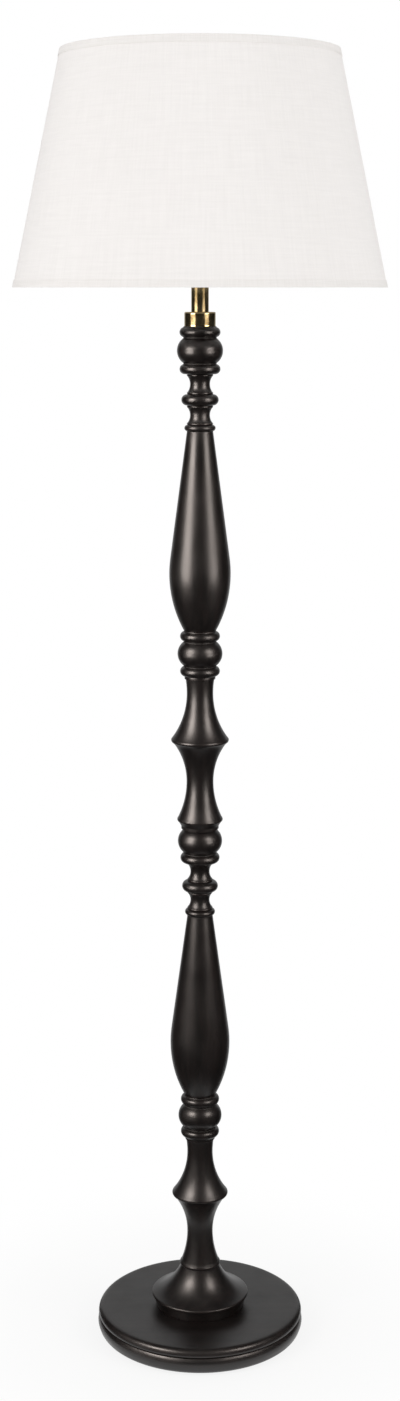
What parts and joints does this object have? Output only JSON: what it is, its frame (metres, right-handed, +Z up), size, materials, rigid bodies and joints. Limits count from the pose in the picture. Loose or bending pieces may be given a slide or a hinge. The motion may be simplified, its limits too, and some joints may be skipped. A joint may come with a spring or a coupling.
{
  "type": "floor lamp",
  "caption": "Free-standing candlestick floor lamp: round moulded base, turned dark wood column, brass neck and a tapered drum shade on a harp.",
  "frame": {"origin": "middle of the felt pad's underside, on the floor", "axes": "+Z up along the column; the switch key points to -Y, the side the picture is taken from; +X to its right"},
  "size_m": [0.4585, 0.4586, 1.6635],
  "materials": {
    "stained_wood": "satin near-black brown stain",
    "felt": "felt",
    "black_plastic": "moulded, satin",
    "cast_iron": "rough cast",
    "zinc_steel": "zinc plated",
    "polished_brass": "polished",
    "card_liner": "insulating card",
    "thread_brass": "rolled",
    "shade_linen": "white linen on a stiff lining",
    "hem_linen": "linen tape",
    "white_wire": "white enamel",
    "nickel": "nickel plated",
    "opal_glass": "opal"
  },
  "bodies": {
    "lamp": {"base_plate": "stained_wood", "felt_pad": "felt", "outlet_bush": "black_plastic", "ballast_disc": "cast_iron", "ballast_screws": "zinc_steel", "base_washer": "zinc_steel", "base_nut": "zinc_steel", "threaded_pipe": "zinc_steel", "foot_bell": "stained_wood", "lower_bead": "stained_wood", "lower_vase": "stained_wood", "lower_knop": "stained_wood", "middle_bead": "stained_wood", "middle_spindle": "stained_wood", "upper_bead": "stained_wood", "upper_vase": "stained_wood", "upper_knop": "stained_wood", "capital": "stained_wood", "brass_collar": "polished_brass", "brass_neck": "polished_brass", "neck_cap": "polished_brass", "harp_saddle": "polished_brass", "lock_nut": "polished_brass", "holder_cap": "polished_brass", "set_screw": "zinc_steel", "holder_shell": "polished_brass", "holder_liner": "card_liner", "holder_body": "black_plastic", "screw_shell": "thread_brass", "centre_contact": "thread_brass"},
    "harp": {"harp": "polished_brass"},
    "left_sleeve": {"harp_sleeve_left": "polished_brass"},
    "right_sleeve": {"harp_sleeve_right": "polished_brass"},
    "shade": {"shade_cover": "shade_linen", "lower_hem": "hem_linen", "upper_hem": "hem_linen", "lower_ring": "white_wire", "spider_frame": "white_wire"},
    "finial": {"finial": "polished_brass"},
    "switch_key": {"switch_key": "black_plastic"},
    "bulb": {"bulb_cap": "nickel", "bulb_glass": "opal_glass", "bulb_tip": "nickel"}
  },
  "joints": [
    {"name": "harp_lift", "type": "slide", "parent": "lamp", "child": "harp", "axis": [0, 0, 1], "range_m": [0, 0.02]},
    {"name": "left_sleeve_slide", "type": "slide", "parent": "harp", "child": "left_sleeve", "axis": [0, 0, 1], "range_m": [0, 0.015]},
    {"name": "right_sleeve_slide", "type": "slide", "parent": "harp", "child": "right_sleeve", "axis": [0, 0, 1], "range_m": [0, 0.015]},
    {"name": "shade_turn", "type": "hinge", "parent": "harp", "child": "shade", "pos_m": [0, 0, 1.6408], "axis": [0, 0, 1], "continuous": true},
    {"name": "finial_turn", "type": "hinge", "parent": "harp", "child": "finial", "pos_m": [0, 0, 1.6426], "axis": [0, 0, 1], "continuous": true},
    {"name": "switch_turn", "type": "hinge", "parent": "lamp", "child": "switch_key", "pos_m": [0, -0.009, 1.4197], "axis": [0, -1, 0], "continuous": true},
    {"name": "bulb_turn", "type": "hinge", "parent": "lamp", "child": "bulb", "pos_m": [0, 0, 1.4317], "axis": [0, 0, 1], "continuous": true}
  ]
}
